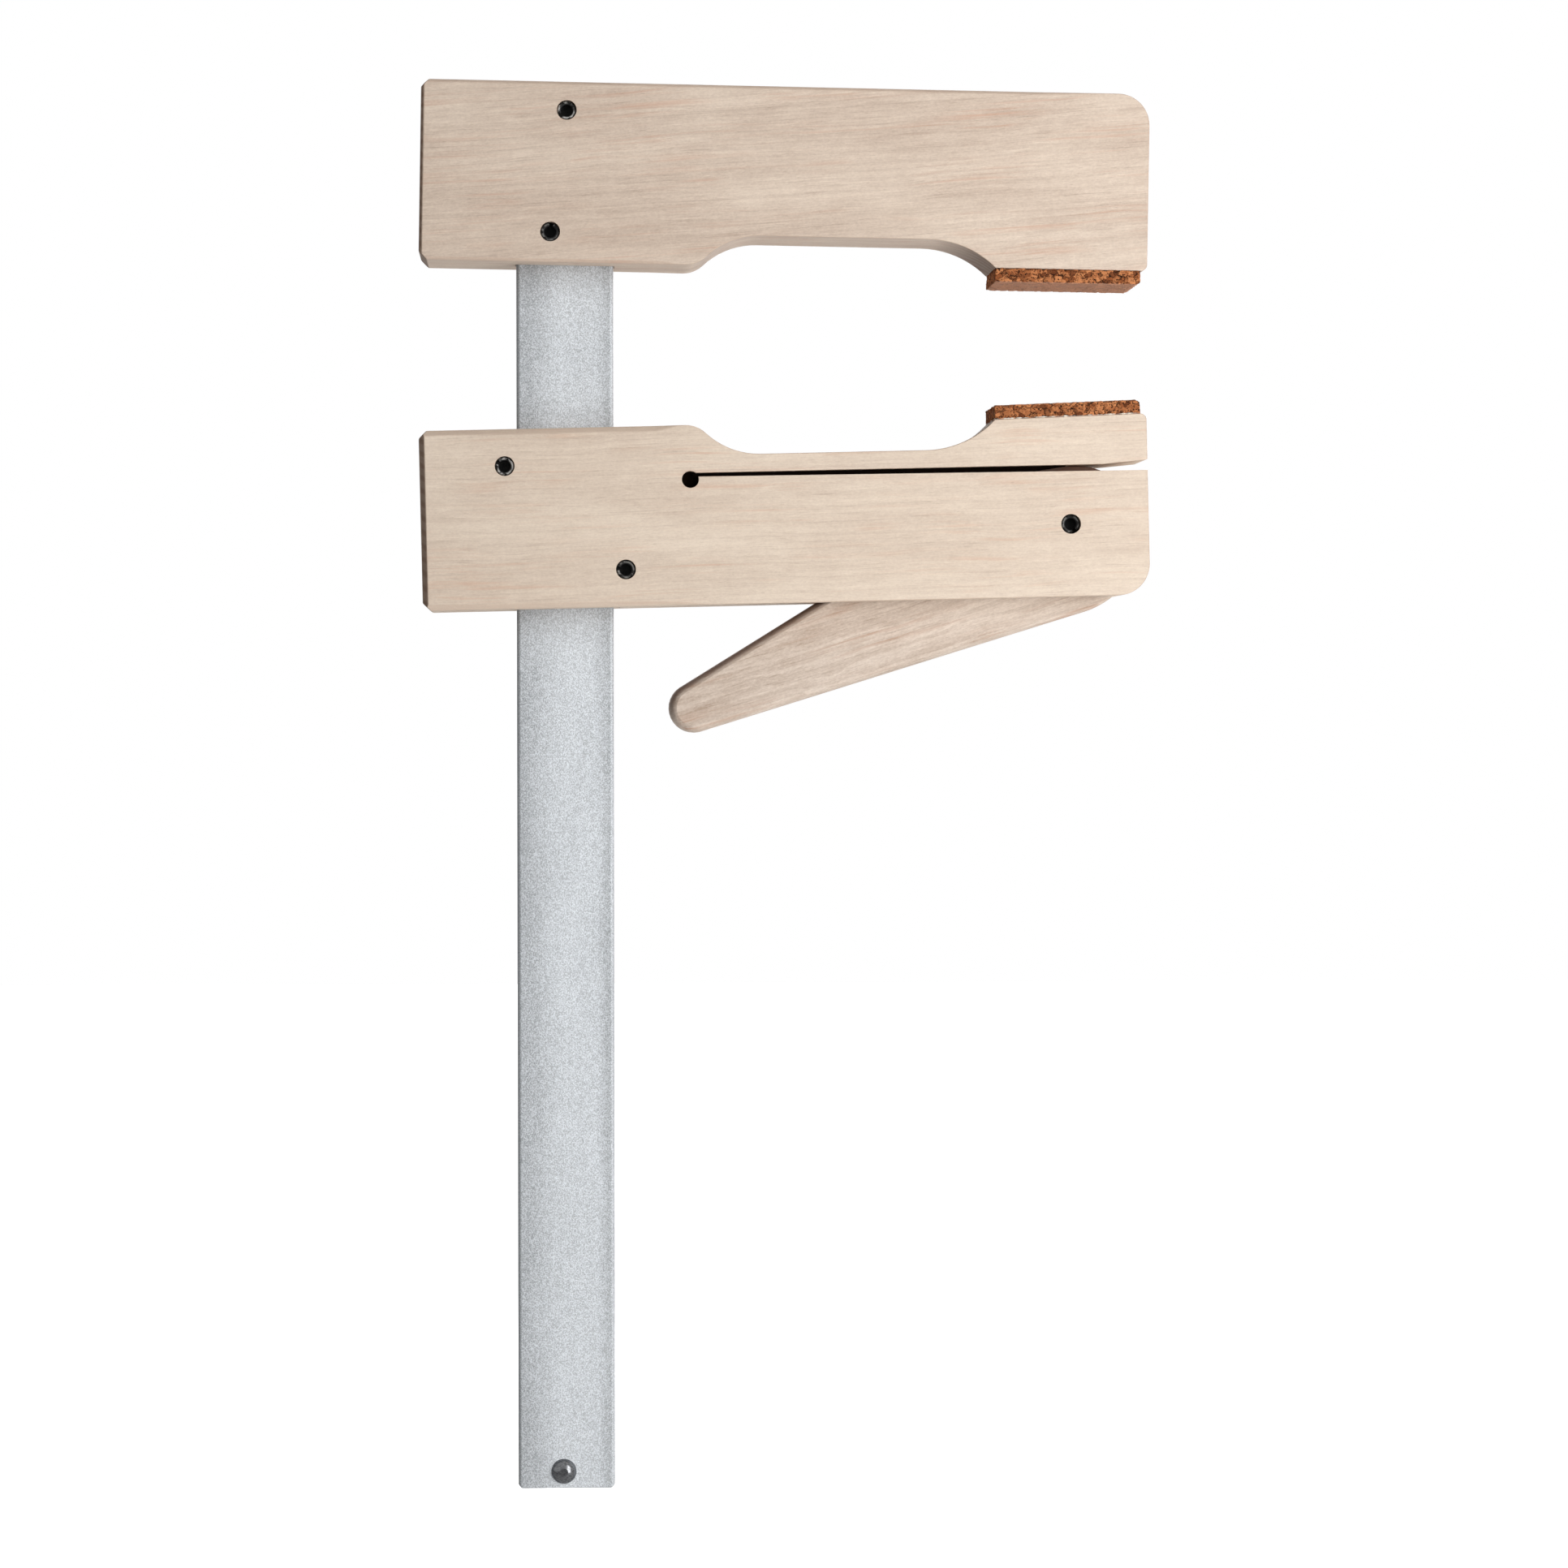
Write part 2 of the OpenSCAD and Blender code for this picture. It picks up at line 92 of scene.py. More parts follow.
def ease_edges(solid, width, sharp=22, steps=3, crisp=None):
    """Rounds the edges that turn by more than some degrees, and hardly at all in crisp places."""
    share = solid.edges.layers.float.new("bevel_weight_edge")
    for edge in solid.edges:
        if edge.is_manifold and edge.calc_face_angle() > math.radians(sharp):
            middle = (edge.verts[0].co + edge.verts[1].co) / 2
            edge[share] = CRISP_SHARE if crisp and crisp(middle) else 1.0
    mesh = bpy.data.meshes.new("eased_solid")
    solid.to_mesh(mesh)
    blank = bpy.data.objects.new("eased_solid", mesh)
    bpy.context.scene.collection.objects.link(blank)
    bevel = blank.modifiers.new("ease", "BEVEL")
    bevel.limit_method = "WEIGHT"
    bevel.width = width
    bevel.segments = steps
    bevel.use_clamp_overlap = False
    settle(blank)
    solid.clear()
    solid.from_mesh(blank.data)
    bpy.data.objects.remove(blank)


def make_piece(name, solid, material, crease=CREASE):
    """A piece from a mesh under work: smooth where it curves, even on its flats."""
    mesh = bpy.data.meshes.new(name)
    solid.to_mesh(mesh)
    solid.free()
    mesh.materials.clear()
    mesh.materials.append(material)
    mesh.shade_smooth()
    mesh.set_sharp_from_angle(angle=math.radians(crease))
    piece = bpy.data.objects.new(name, mesh)
    bpy.context.scene.collection.objects.link(piece)
    even = piece.modifiers.new("even_normals", "WEIGHTED_NORMAL")
    even.keep_sharp = True
    settle(piece)
    return piece


def settle(piece):
    """Makes what a piece's modifiers show its own plain mesh."""
    graph = bpy.context.evaluated_depsgraph_get()
    mesh = bpy.data.meshes.new_from_object(
        piece.evaluated_get(graph), preserve_all_data_layers=True, depsgraph=graph)
    piece.modifiers.clear()
    piece.data = mesh


class Link:
    """An output socket in a node tree. Arithmetic on it adds Math nodes to that tree."""

    def __init__(self, tree, socket=None):
        self.tree = tree
        self.socket = socket

    def node(self, kind, settings, inputs, out=0):
        """Adds a node: its settings first, then the values or the links of its sockets."""
        node = self.tree.nodes.new(kind)
        for name, value in settings.items():
            setattr(node, name, value)
        for name, value in inputs.items():
            if isinstance(value, Link):
                self.tree.links.new(value.socket, node.inputs[name])
            else:
                node.inputs[name].default_value = value
        return Link(self.tree, node.outputs[out])

    def maths(self, operation, first, second):
        return self.node("ShaderNodeMath", {"operation": operation}, {0: first, 1: second})

    def __add__(self, other):
        return self.maths("ADD", self, other)

    __radd__ = __add__

    def __mul__(self, other):
        return self.maths("MULTIPLY", self, other)

    __rmul__ = __mul__

    def __sub__(self, other):
        return self.maths("SUBTRACT", self, other)

    def __rsub__(self, other):
        return self.maths("SUBTRACT", other, self)

    def __abs__(self):
        return self.node("ShaderNodeMath", {"operation": "ABSOLUTE"}, {0: self})

    def step(self, low, high):
        """From 0 at low to 1 at high, smoothly."""
        return self.node(
            "ShaderNodeMapRange", {"interpolation_type": "SMOOTHSTEP"},
            {"Value": self, "From Min": low, "From Max": high})

    def mix(self, base, other, clamp=True):
        """The base colour at 0 and the other at 1, and beyond them if it isn't clamped."""
        return self.node(
            "ShaderNodeMix", {"data_type": "RGBA", "clamp_factor": clamp},
            {0: self, 6: base, 7: other}, out=2)

    def stretched(self, size, turn=(0, 0, 0), origin=(0, 0, 0)):
        """These coordinates in a turned frame, measured in units of a size along each axis."""
        return self.node(
            "ShaderNodeMapping", {"vector_type": "TEXTURE"},
            {"Vector": self, "Location": origin, "Rotation": turn, "Scale": size})

    def noise(self, detail=2.0, roughness=0.5):
        return self.node(
            "ShaderNodeTexNoise", {},
            {"Vector": self, "Scale": 1.0, "Detail": detail, "Roughness": roughness})

    def axis(self, name):
        return self.node("ShaderNodeSeparateXYZ", {}, {0: self}, out=name)

    def shifted(self, way):
        """These coordinates moved by a vector."""
        return self.node("ShaderNodeVectorMath", {"operation": "ADD"}, {0: self, 1: way})

    def scaled(self, times):
        """These coordinates times a number."""
        return self.node("ShaderNodeVectorMath", {"operation": "SCALE"}, {0: self, "Scale": times})

    def length(self):
        return self.node("ShaderNodeVectorMath", {"operation": "LENGTH"}, {0: self}, "Value")

    def kept(self, name):
        """The number that a piece keeps all over its surface under a name."""
        return self.node("ShaderNodeAttribute", {"attribute_name": name}, {}, "Fac")


def tone(red, green, blue):
    """A colour given as screen values up to 255, as the linear values that sockets take."""
    def linear(value):
        value /= 255
        return value / 12.92 if value <= 0.04045 else ((value + 0.055) / 1.055) ** 2.4
    return linear(red), linear(green), linear(blue), 1.0


def new_material(name):
    """A material, its Principled shader and the Object coordinates of what wears it."""
    material = bpy.data.materials.new(name)
    material.use_nodes = True
    shader = material.node_tree.nodes["Principled BSDF"]
    place = Link(material.node_tree).node("ShaderNodeTexCoord", {}, {}, "Object")
    return material, shader, place


def feed(shader, bump_depth=0.0, bump=None, **links):
    """Links what varies over a surface to its shader: colour, roughness and height."""
    tree = shader.id_data
    for name, link in links.items():
        tree.links.new(link.socket, shader.inputs[name.replace("_", " ").title()])
    if bump:
        normal = bump.node(
            "ShaderNodeBump", {}, {"Strength": 1.0, "Distance": bump_depth, "Height": bump})
        tree.links.new(normal.socket, shader.inputs["Normal"])


def mark_slopes(piece, name, mark):
    """Keeps a number for each way that a piece's surface faces, which its material reads by name."""
    marks = piece.data.attributes.new(name, "FLOAT", "CORNER")
    for normal, place in zip(piece.data.corner_normals, marks.data):
        place.value = mark(normal.vector)


def eased(normal):
    """1 where a surface leans between the front or back and the sides, and 0 on those."""
    off_face = 1 - abs(normal.y)
    off_side = abs(normal.y)
    return min(1, off_face / 0.1, off_side / 0.2)


ZINC_DULL = tone(154, 157, 160)
ZINC_BRIGHT = tone(238, 242, 246)
ARRIS_SHADE_GREY = tone(96, 98, 101)

bar_low, bar_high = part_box("bar")
bar_middle = (bar_low + bar_high) / 2

zinc, shader, place = new_material("galvanised_zinc")
grain = place.stretched((0.22 * MM, 0.22 * MM, 0.26 * MM)).noise(3.0, 0.62)
crystals = place.stretched((1.1 * MM, 1.1 * MM, 1.6 * MM)).noise(2.0)
drawn = place.stretched((0.5 * MM, 0.5 * MM, 60 * MM)).noise(2.0)
clouds = place.stretched((7 * MM, 7 * MM, 24 * MM)).noise(2.0)
from_middle = place.axis("X") - bar_middle.x
# Painted light and shade across the bar's face: darker at its left edge, lighter towards the middle, dimmer again
# near the right edge.
painted_light = from_middle.step(*PAINTED_LIGHT_SPAN) - from_middle.step(*PAINTED_SHADE_SPAN) * 0.8
bright = grain.step(0.32, 0.68) * 0.62 + crystals * 0.20 + drawn * 0.14 + clouds * 0.26 - 0.36
bright = bright + painted_light * 0.30
zinc_colour = bright.mix(ZINC_DULL, ZINC_BRIGHT)
# Painted shade on the left-facing rounded edges, and a touch of painted light on the right-facing ones.
zinc_colour = (place.kept("arris_shade") * 0.5).mix(zinc_colour, ARRIS_SHADE_GREY)
shader.inputs["Metallic"].default_value = 0.55
feed(shader, base_color=zinc_colour, roughness=0.52 + grain * 0.16, bump=grain, bump_depth=0.05 * MM)

solid = joined_solid("bar")
ease_edges(solid, BAR_EASE, sharp=BAR_SHARP)
bar = make_piece("bar_steel", solid, zinc)
# The mark is highest on edges that face left, away from the light, and drops below zero on those that face right.
mark_slopes(bar, "arris_shade", lambda normal: eased(normal) * (0.45 - 0.55 * normal.x))
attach(bar, "frame")
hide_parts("bar")


# The stop rivet: a bright steel rivet at the foot of the bar, headed on both faces.
# The snap that set it has left a small flat on the crown of each head.

RIVET_FLAT = 0.85 * MM
RIVET_UNDERCUT = 0.15 * MM
RIVET_SUNK = 0.1 * MM
RIVET_TURNS = 64
RIVET_RINGS = 12
RIVET_CREASE = 14
RIVET_DARK = tone(84, 85, 87)
RIVET_BRIGHT = tone(132, 133, 135)

rivet_low, rivet_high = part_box("stop_rivet")
rivet_middle = (rivet_low + rivet_high) / 2
rivet_r = (rivet_high.x - rivet_low.x) / 2
head_h = rivet_high.y - bar_high.y
ball_r = (rivet_r ** 2 + head_h ** 2) / (2 * head_h)

rivet_steel, shader, place = new_material("rivet_steel")
scuff = place.stretched((0.5 * MM, 0.5 * MM, 0.12 * MM)).noise(3.0)
rivet_tone = scuff.step(0.3, 0.75).mix(RIVET_DARK, RIVET_BRIGHT)
shader.inputs["Metallic"].default_value = 1.0
feed(shader, base_color=rivet_tone, roughness=0.12 + scuff * 0.14, bump=scuff, bump_depth=0.006 * MM)

outline = [(0.0, head_h - (ball_r - math.sqrt(ball_r ** 2 - RIVET_FLAT ** 2)))]
flat_turn = math.asin(RIVET_FLAT / ball_r)
rim_turn = math.asin(rivet_r / ball_r)
for step in range(RIVET_RINGS + 1):
    turn = flat_turn + (rim_turn - flat_turn) * step / RIVET_RINGS
    outline.append((ball_r * math.sin(turn), head_h - ball_r * (1 - math.cos(turn))))
outline.append((rivet_r - RIVET_UNDERCUT, -RIVET_SUNK))
outline.append((0.0, -RIVET_SUNK))

solid = bmesh.new()
for face in (-1, 1):
    rings = []
    for radius, height in outline:
        count = RIVET_TURNS if radius else 1
        ring = []
        for k in range(count):
            turn = 2 * math.pi * k / count
            ring.append(solid.verts.new((
                rivet_middle.x + radius * math.cos(turn),
                face * (bar_high.y + height),
                rivet_middle.z + radius * math.sin(turn))))
        rings.append(ring)
    for inner, outer in zip(rings, rings[1:]):
        for k in range(RIVET_TURNS):
            corners = []
            for corner in (inner[k % len(inner)], inner[(k + 1) % len(inner)],
                           outer[(k + 1) % len(outer)], outer[k % len(outer)]):
                if corner not in corners:
                    corners.append(corner)
            solid.faces.new(corners)
bmesh.ops.recalc_face_normals(solid, faces=solid.faces)
rivet = make_piece("stop_rivet_heads", solid, rivet_steel, crease=RIVET_CREASE)
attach(rivet, "frame")
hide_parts("stop_rivet")


# The fixed jaw: one piece of pale hardwood, sawn, planed and sanded, with the grain along it.
# It is mortised onto the upper end of the bar, toes in by a degree and has its edges eased.

FIXED_GRAIN = math.radians(4.0)
FIXED_PITH = (-20 * MM, 31 * MM, -43 * MM)
FIXED_EASE = 0.22 * MM
PIN_HOLE_RIM = 2.3 * MM
HEEL_GRAIN_AND_SHADE = 1.0
TIP_GRAIN_SHARE = 0.6
SAWN_CLEAN = 0.65
END_GRAIN_AND_SHADE_BROWN = tone(104, 74, 56)
CAM_SHADE_BROWN = tone(120, 72, 50)


def hardwood(
        name, grain_turn, pith, pale, deep, blush, shade, edge,
        edge_share=0.35, figure=0.44, streaky=0.44):
    """Planed diffuse-porous hardwood as a solid pattern, with fibres along the turned X axis."""
    material, shader, place = new_material(name)
    turn = (0, -grain_turn, 0)
    sway = place.stretched((34 * MM, 16 * MM, 16 * MM), turn, pith).noise(2.0)
    swaying = sway.node("ShaderNodeCombineXYZ", {}, {"Y": sway, "Z": sway})

    def along_grain(length, width, bend):
        """Places measured in long thin units that sway with the grain by a number of widths."""
        straight = place.stretched((length, width, width), turn, pith)
        return straight.node(
            "ShaderNodeVectorMath", {"operation": "MULTIPLY_ADD"},
            {0: swaying, 1: (0, bend, bend), 2: straight})

    bent = along_grain(1000 * MM, 2.3 * MM, 2.4)
    rings = bent.node(
        "ShaderNodeTexWave",
        {"wave_type": "RINGS", "rings_direction": "X", "wave_profile": "SIN"},
        {"Vector": bent, "Scale": 0.314, "Distortion": 1.5, "Detail": 2.0, "Detail Scale": 0.6})
    streaks = along_grain(30 * MM, 1.0 * MM, 3.0).noise(3.0, 0.62)
    felt = along_grain(2.2 * MM, 0.28 * MM, 6.0).noise(3.0, 0.65)
    nap = place.stretched((0.55 * MM, 0.30 * MM, 0.30 * MM), turn).noise(2.0)
    fibres = along_grain(20 * MM, 0.30 * MM, 8.0).noise(1.0)
    mottle = along_grain(5 * MM, 2.2 * MM, 1.0).noise(2.0, 0.6)
    clouds = place.stretched((38 * MM, 10 * MM, 10 * MM), turn, pith).noise(2.0)
    pores = place.stretched((1.7 * MM, 0.13 * MM, 0.13 * MM), turn).noise(1.0)
    warm = along_grain(42 * MM, 0.7 * MM, 3.0).noise(2.0, 0.6)
    flush = along_grain(26 * MM, 5 * MM, 1.0).noise(2.0)
    lines = fibres.step(0.56, 0.80) * 0.42 + rings.step(0.90, 0.99) * streaks.step(0.35, 0.6) * 0.20
    depth = streaks.step(0.20, 0.82) * streaky + clouds.step(0.25, 0.75) * figure
    depth = depth + felt * 0.75 + nap * 0.75 + mottle * 0.45
    colour = (depth - lines - (0.58 + 0.5 * (figure + streaky))).mix(deep, pale, clamp=False)
    colour = (warm.step(0.46, 0.74) * flush.step(0.42, 0.66) * 0.62).mix(colour, blush)
    colour = (pores.step(0.66, 0.82) * 0.20).mix(colour, shade)
    # On the lever this edge tone is painted shade along its upper-left edge; on the jaws it is a slightly darker
    # tone on every eased edge.
    colour = (place.kept("eased") * edge_share).mix(colour, edge)
    # End grain is darker, and on surfaces that face left it is darker still as painted shade.
    ringed = 0.68 + rings.step(0.3, 0.95) * 0.12
    colour = (place.kept("end_grain_and_shade") * ringed).mix(colour, END_GRAIN_AND_SHADE_BROWN)
    # Painted shade on the lever's cam face, which lies inside the slot.
    colour = (place.kept("cam_shade") * 0.75).mix(colour, CAM_SHADE_BROWN)
    shader.inputs["Specular IOR Level"].default_value = 0.3
    feed(shader, base_color=colour, roughness=0.50 + felt * 0.2,
         bump=felt + streaks * 0.4 - pores.step(0.64, 0.80) * 0.5, bump_depth=0.05 * MM)
    return material


def ramp(value, low, high):
    """From 0 at low to 1 at high, in a straight line."""
    return min(1, max(0, (value - low) / (high - low)))


def cut_across(grain_turn):
    """Tells how dark end grain makes a surface, with painted shade added on the side that faces left: most on the
    eased corners of the heel.
    """
    fibre = Vector((math.cos(grain_turn), 0, math.sin(grain_turn)))

    def darkness(normal):
        across = abs(normal.dot(fibre))
        grain_and_shade = HEEL_GRAIN_AND_SHADE if normal.x < 0 else TIP_GRAIN_SHARE
        sawn = SAWN_CLEAN * ramp(across, 0.8, 0.95)
        return grain_and_shade * ramp(across, 0.2, 0.6) * (1 - sawn)

    return darkness


def at_pin_holes(*nodes):
    """Tells whether a place lies on the rim of a hole that one of these pins was driven into."""
    places = [(low + high) / 2 for low, high in (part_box(node) for node in nodes)]
    return lambda spot: any(math.hypot(spot.x - at.x, spot.z - at.z) < PIN_HOLE_RIM for at in places)


fixed_wood = hardwood(
    "fixed_jaw_wood", FIXED_GRAIN, FIXED_PITH,
    pale=tone(234, 217, 199), deep=tone(202, 182, 165), blush=tone(204, 162, 138),
    shade=tone(168, 146, 130), edge=tone(214, 186, 166))
solid = joined_solid("fixed_jaw")
ease_edges(solid, FIXED_EASE, crisp=at_pin_holes("fixed_jaw_pin_upper", "fixed_jaw_pin_lower"))
fixed_jaw = make_piece("fixed_jaw_wood", solid, fixed_wood)
mark_slopes(fixed_jaw, "eased", eased)
mark_slopes(fixed_jaw, "end_grain_and_shade", cut_across(FIXED_GRAIN))
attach(fixed_jaw, "frame")
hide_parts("fixed_jaw")


# The spring pins: slotted tubes of rolled spring steel, 4 x 20 mm, driven into drilled holes.
# Two hold the fixed jaw, two guide the sliding jaw on the bar, and the lever turns on one.
# Their bores hold near-black plugs a little way in, and each pin's end is near-black but for a thin band of steel:
# painted shade.

PIN_D = 4.0 * MM
PIN_WALL = 0.8 * MM
PIN_SLOT = 0.9 * MM
PIN_LENGTH = 20 * MM
PIN_CHAMFER = 0.3 * MM
PIN_OPEN = 2.5 * MM
PIN_TURNS = 72
PIN_CHAMFER_STEPS = 3
SHADE_PLUG_TURNS = 48
SHADE_PLUG_SHARE = 0.45
PIN_DARK = tone(34, 33, 32)
PIN_BRIGHT = tone(196, 194, 190)
PIN_SHADE_BLACK = tone(6, 6, 7)

pin_steel, shader, place = new_material("spring_steel")
scale_marks = place.stretched((1.1 * MM, 1.4 * MM, 1.1 * MM)).noise(3.0, 0.6)
# bore marks the near-black of painted shade; each pin's steel band is lightened by its own share as a painted
# highlight.
bore = place.kept("bore")
pin_tone = (scale_marks.step(0.40, 0.60) * place.kept("painted_light")).mix(PIN_DARK, PIN_BRIGHT)
pin_tone = bore.mix(pin_tone, PIN_SHADE_BLACK)
feed(shader, base_color=pin_tone, roughness=0.22 + scale_marks * 0.25 + bore * 0.5,
     metallic=0.9 - bore * 0.9, bump=scale_marks, bump_depth=0.03 * MM)


def new_tree(name, sizes):
    """A geometry node tree with named inputs, and the links to start from, by input name."""
    tree = bpy.data.node_groups.new(name, "GeometryNodeTree")
    tree.interface.new_socket("Geometry", in_out="OUTPUT", socket_type="NodeSocketGeometry")
    tree.interface.new_socket("Geometry", in_out="INPUT", socket_type="NodeSocketGeometry")
    for size, kind in sizes.items():
        tree.interface.new_socket(size, in_out="INPUT", socket_type="NodeSocket" + kind)
    entry = tree.nodes.new("NodeGroupInput")
    return tree, {socket.name: Link(tree, socket) for socket in entry.outputs if socket.name}


def close_tree(geometry, material):
    """Ends a tree in real geometry that wears a material."""
    whole = geometry.node("GeometryNodeRealizeInstances", {}, {"Geometry": geometry})
    dressed = whole.node("GeometryNodeSetMaterial", {}, {"Geometry": whole, "Material": material})
    exit_node = geometry.tree.nodes.new("NodeGroupOutput")
    geometry.tree.links.new(dressed.socket, exit_node.inputs[0])


def grown(name, base, tree, sizes):
    """A piece that a geometry node tree makes of a base mesh, as a plain mesh."""
    piece = bpy.data.objects.new(name, base)
    bpy.context.scene.collection.objects.link(piece)
    maker = piece.modifiers.new(tree.name, "NODES")
    maker.node_group = tree
    for item in tree.interface.items_tree:
        if item.in_out == "INPUT" and item.name in sizes:
            maker[item.identifier] = sizes[item.name]
    settle(piece)
    return piece


pin_tree, entry = new_tree("spring_pins", {
    "Diameter": "Float", "Wall": "Float", "Slot": "Float", "Length": "Float", "Chamfer": "Float",
    "Open": "Float", "Material": "Material"})
ring_r = (entry["Diameter"] - entry["Wall"]) * 0.5
gap = entry["Slot"].node("ShaderNodeMath", {"operation": "DIVIDE"}, {0: entry["Slot"], 1: ring_r})
ring = gap.node(
    "GeometryNodeCurveArc", {"mode": "RADIUS"},
    {"Resolution": PIN_TURNS, "Radius": ring_r,
     "Start Angle": gap * 0.5, "Sweep Angle": 2 * math.pi - gap})
wall_section = gap.node(
    "GeometryNodeCurvePrimitiveQuadrilateral", {"mode": "RECTANGLE"},
    {"Width": entry["Wall"], "Height": entry["Length"]})
wall_section = gap.node(
    "GeometryNodeFilletCurve", {"mode": "POLY"},
    {"Curve": wall_section, "Count": PIN_CHAMFER_STEPS,
     "Radius": entry["Chamfer"], "Limit Radius": True})
tube = gap.node(
    "GeometryNodeCurveToMesh", {}, {"Curve": ring, "Profile Curve": wall_section, "Fill Caps": True})
spot = gap.node("GeometryNodeInputPosition", {}, {})
from_axis = spot.node("ShaderNodeCombineXYZ", {}, {"X": spot.axis("X"), "Y": spot.axis("Y")}).length()
shade_plug = gap.node(
    "GeometryNodeMeshCylinder", {},
    {"Vertices": SHADE_PLUG_TURNS, "Radius": ring_r + entry["Wall"] * SHADE_PLUG_SHARE,
     "Depth": entry["Length"] - entry["Open"] * 2.0}, "Mesh")
tube = gap.node("GeometryNodeJoinGeometry", {}, {"Geometry": tube})
gap.tree.links.new(shade_plug.socket, tube.socket.node.inputs["Geometry"])
# Only a thin band in the middle of the tube's wall shows the steel, lightened as a painted highlight: the rest of
# it, and the plug, take the near-black of painted shade.
rim = from_axis.step(ring_r - entry["Wall"] * 0.4, ring_r - entry["Wall"] * 0.1)
rim = rim - from_axis.step(ring_r + entry["Wall"] * 0.15, ring_r + entry["Wall"] * 0.5)
tube = gap.node(
    "GeometryNodeStoreNamedAttribute", {"data_type": "FLOAT", "domain": "POINT"},
    {"Geometry": tube, "Name": "bore", "Value": 1.0 - rim})
tube = gap.node("GeometryNodeTransform", {}, {"Geometry": tube, "Rotation": (math.pi / 2, 0, 0)})
slot_turn = gap.node("GeometryNodeInputNamedAttribute", {"data_type": "FLOAT"}, {"Name": "slot_turn"})
facing = gap.node("ShaderNodeCombineXYZ", {}, {"Y": 0.0 - slot_turn})
pins = gap.node(
    "GeometryNodeInstanceOnPoints", {},
    {"Points": entry["Geometry"], "Instance": tube, "Rotation": facing})
close_tree(pins, entry["Material"])


def pin_set(name, body, pins):
    """The spring pins of one body, each with its slot's turn and how strong the painted highlight on its rim is.
    """
    places = bpy.data.meshes.new(name)
    boxes = [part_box(node) for node in pins]
    places.from_pydata([(low + high) / 2 for low, high in boxes], [], [])
    turned = places.attributes.new("slot_turn", "FLOAT", "POINT")
    painted_light = places.attributes.new("painted_light", "FLOAT", "POINT")
    for k, (degrees, shine) in enumerate(pins.values()):
        turned.data[k].value = math.radians(degrees)
        painted_light.data[k].value = shine
    piece = grown(name, places, pin_tree, {
        "Diameter": PIN_D, "Wall": PIN_WALL, "Slot": PIN_SLOT, "Length": PIN_LENGTH,
        "Chamfer": PIN_CHAMFER, "Open": PIN_OPEN, "Material": pin_steel})
    piece.data.shade_smooth()
    piece.data.set_sharp_from_angle(angle=math.radians(CREASE))
    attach(piece, body)
    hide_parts(*pins)


pin_set("fixed_jaw_pins", "frame", {
    "fixed_jaw_pin_upper": (220, 1.0), "fixed_jaw_pin_lower": (80, 0.25)})
pin_set("sliding_jaw_pins", "slider", {
    "guide_pin_rear": (150, 1.0), "guide_pin_front": (170, 0.45), "cam_pivot_pin": (300, 0.2)})


# The sliding jaw: the same hardwood, mortised to run on the bar and slotted for the lever.
# A saw kerf that ends in a drilled hole leaves a springy tongue on top, which is bent by the cam.
# Near-black fills in the kerf and its hole, a little way in from each face, are painted shade.

SLIDING_TOE = math.radians(1.3)
SLIDING_GRAIN = SLIDING_TOE + math.radians(0.8)
SLIDING_PITH = (50 * MM, 52 * MM, -128 * MM)
SLIDING_EASE = 0.25 * MM
HINGE_GAP = 0.4 * MM
HINGE_SEAM = 0.01 * MM
LEAF_ROOT = -15 * MM
LEAF_END = 15 * MM
LEAF_CUTS = 20
KERF_BELOW_HINGE = -2.2 * MM
KERF_FROM = -34 * MM
KERF_DEPTHS = (-5.0 * MM, -1.4 * MM)
KERF_HOLE = (-31.54 * MM, -3.15 * MM)
KERF_HOLE_R = 1.8 * MM
KERF_HOLE_TURNS = 32
KERF_SHADE_FILL = [(reach * MM, height * MM) for reach, height in (
    (-31.0, -2.75), (37.0, -3.25), (46.0, -1.97), (46.0, -1.87), (-31.0, -1.87))]
KERF_SHADE_FILL_DEPTHS = (5.6 * MM, 8.4 * MM)
SHADE_FILL_DEPTH = 16 * MM
SHADE_FILL_BLACK = tone(8, 6, 5)
SHADE_FILL_BROWN = tone(30, 22, 17)

flex = next(joint for joint in frame["joints"] if joint["name"] == "tongue_flex")
hinge = Vector(flex["pos_m"])
along = Vector((math.cos(SLIDING_TOE), 0, math.sin(SLIDING_TOE)))
upward = Vector((-math.sin(SLIDING_TOE), 0, math.cos(SLIDING_TOE)))

sliding_wood = hardwood(
    "sliding_jaw_wood", SLIDING_GRAIN, SLIDING_PITH,
    pale=tone(240, 224, 205), deep=tone(214, 195, 177), blush=tone(216, 178, 153),
    shade=tone(172, 150, 134), edge=tone(216, 190, 170), figure=0.36, streaky=0.36)

at_sliding_pins = at_pin_holes("guide_pin_rear", "guide_pin_front", "cam_pivot_pin")


def in_kerf(spot):
    """Tells whether a place lies in the saw kerf or in the hole that ends it."""
    away = spot - hinge
    return away.dot(along) > KERF_FROM and KERF_DEPTHS[0] < away.dot(upward) < KERF_DEPTHS[1]


def at_hinge_gap(face):
    """Tells whether a face lies in the hairline gap that parts jaw and tongue in the solids."""
    away = (face.calc_center_median() - hinge).dot(along)
    return abs(face.normal.dot(along)) > 0.99 and abs(away) < HINGE_GAP


def score(solid, place, square_to):
    """Cuts a line into a mesh where a plane crosses it."""
    everything = solid.verts[:] + solid.edges[:] + solid.faces[:]
    bmesh.ops.bisect_plane(solid, geom=everything, plane_co=place, plane_no=square_to)


